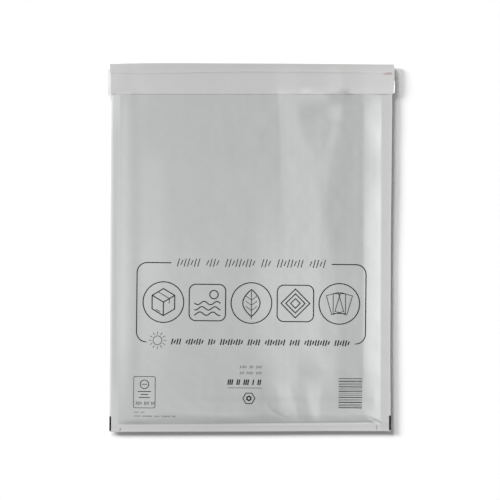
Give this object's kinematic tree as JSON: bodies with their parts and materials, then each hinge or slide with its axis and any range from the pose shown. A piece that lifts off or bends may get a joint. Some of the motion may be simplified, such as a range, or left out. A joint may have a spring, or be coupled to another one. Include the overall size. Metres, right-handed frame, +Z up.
{
  "type": "padded envelope",
  "caption": "White paper postal bag lined with bubble film, lying flat and empty, with glued side and bottom seams and an unsealed flap folded over its front.",
  "frame": {"origin": "centre of the footprint, on the surface that the envelope lies on", "axes": "+X across the width to the right, +Y along the length towards the flap, +Z up out of the printed front panel"},
  "size_m": [0.3786, 0.485, 0.0108],
  "materials": {
    "outer_paper": "white machine-finished paper, slightly grey from the film behind it, matt with a faint surface gloss",
    "bubble_lining": "clear polyethylene bubble film, soft gloss",
    "adhesive_strip": "pale hot-melt adhesive, tacky and slightly glossy",
    "release_liner": "white siliconised paper, satin"
  },
  "bodies": {
    "root": {"outer_paper": "outer_paper", "bubble_lining": "bubble_lining", "adhesive_strip": "adhesive_strip", "release_liner": "release_liner"}
  },
  "joints": []
}
